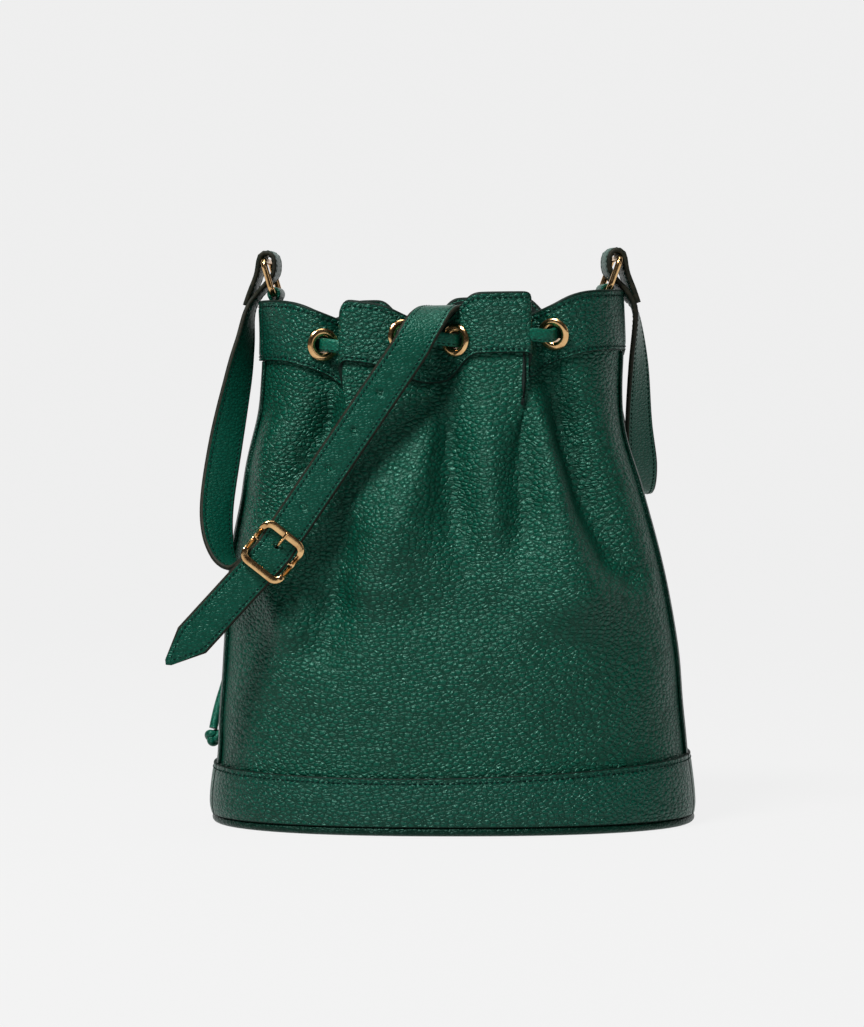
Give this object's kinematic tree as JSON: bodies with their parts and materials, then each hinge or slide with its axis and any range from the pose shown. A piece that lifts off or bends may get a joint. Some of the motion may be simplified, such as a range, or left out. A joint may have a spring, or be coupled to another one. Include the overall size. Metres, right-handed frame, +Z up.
{
  "type": "bucket bag",
  "caption": "Drawstring leather bucket bag on an oval base, with eyelets round a gathered mouth, ring tabs and a buckled shoulder strap draped over it.",
  "frame": {"origin": "centre of the underside of the base", "axes": "+Z up; the front with the buckle faces -Y; +X is to the right seen from the front"},
  "size_m": [0.2959, 0.1707, 0.326],
  "materials": {
    "body_leather": "pebbled, semi-gloss, deep green",
    "welt_leather": "smooth dark green welt",
    "strap_leather": "fine grain, stitched, painted edges",
    "cord_leather": "folded and stitched lace",
    "lining": "woven lining",
    "base_board": "fibre board",
    "light_gold": "polished light gold plate"
  },
  "bodies": {
    "bag": {"base_panel": "body_leather", "base_board": "base_board", "lining_floor": "lining", "base_welt": "welt_leather", "front_panel_upper_1": "body_leather", "front_panel_upper_2": "body_leather", "front_panel_upper_3": "body_leather", "front_panel_upper_4": "body_leather", "front_panel_lower_1": "body_leather", "front_panel_lower_2": "body_leather", "front_lining": "lining", "front_top_band": "body_leather", "front_base_band": "body_leather", "back_panel_upper_1": "body_leather", "back_panel_upper_2": "body_leather", "back_panel_upper_3": "body_leather", "back_panel_upper_4": "body_leather", "back_panel_lower_1": "body_leather", "back_panel_lower_2": "body_leather", "back_lining": "lining", "back_top_band": "body_leather", "back_base_band": "body_leather", "left_side_welt": "welt_leather", "right_side_welt": "welt_leather", "ring_tab_left": "strap_leather", "ring_tab_right": "strap_leather", "strap_long": "strap_leather", "strap_short": "strap_leather", "buckle_frame": "light_gold"},
    "front_mouth": {"eyelet_01": "light_gold", "eyelet_02": "light_gold", "eyelet_03": "light_gold", "eyelet_04": "light_gold", "eyelet_washer_01": "light_gold", "eyelet_washer_02": "light_gold", "eyelet_washer_03": "light_gold", "eyelet_washer_04": "light_gold", "drawstring_front": "cord_leather"},
    "back_mouth": {"eyelet_05": "light_gold", "eyelet_06": "light_gold", "eyelet_07": "light_gold", "eyelet_08": "light_gold", "eyelet_09": "light_gold", "eyelet_10": "light_gold", "eyelet_washer_05": "light_gold", "eyelet_washer_06": "light_gold", "eyelet_washer_07": "light_gold", "eyelet_washer_08": "light_gold", "eyelet_washer_09": "light_gold", "eyelet_washer_10": "light_gold", "drawstring_back": "cord_leather"},
    "drawstring_ends": {"drawstring_end_a": "cord_leather", "drawstring_end_b": "cord_leather", "drawstring_knot_a": "cord_leather", "drawstring_knot_b": "cord_leather"},
    "left_ring": {"ring_left": "light_gold"},
    "right_ring": {"ring_right": "light_gold"},
    "prong": {"buckle_prong": "light_gold"}
  },
  "joints": [
    {"name": "mouth_gather", "type": "hinge", "parent": "bag", "child": "front_mouth", "pos_m": [0, -0.06, 0.038], "axis": [-1, 0, 0], "range_deg": [0, 3.5], "deforming": ["front_panel_upper_1", "front_panel_upper_2", "front_panel_upper_3", "front_panel_upper_4", "front_panel_lower_1", "front_panel_lower_2", "front_lining", "front_top_band", "drawstring_front"]},
    {"name": "back_gather", "type": "hinge", "parent": "bag", "child": "back_mouth", "pos_m": [0, 0.06, 0.038], "axis": [1, 0, 0], "range_deg": [0, 3.5], "deforming": ["back_panel_upper_1", "back_panel_upper_2", "back_panel_upper_3", "back_panel_upper_4", "back_panel_lower_1", "back_panel_lower_2", "back_lining", "back_top_band", "drawstring_back"]},
    {"name": "drawstring_pull", "type": "slide", "parent": "bag", "child": "drawstring_ends", "axis": [-0.0995, 0, -0.995], "range_m": [0, 0.022]},
    {"name": "left_ring_swing", "type": "hinge", "parent": "bag", "child": "left_ring", "pos_m": [-0.1006, 0, 0.2986], "axis": [0.1219, 0.9925, 0], "range_deg": [0, 6]},
    {"name": "right_ring_swing", "type": "hinge", "parent": "bag", "child": "right_ring", "pos_m": [0.0858, 0, 0.3006], "axis": [0.1392, -0.9903, 0], "range_deg": [0, 6]},
    {"name": "prong_lift", "type": "hinge", "parent": "bag", "child": "prong", "pos_m": [-0.0994, -0.0661, 0.1556], "axis": [0.7848, 0, -0.6198], "range_deg": [0, 5]}
  ],
  "couplings": [
    {"joint": "back_gather", "follows": "mouth_gather", "ratio": 1},
    {"joint": "drawstring_pull", "follows": "mouth_gather", "m_per_rad": 0.35523}
  ]
}
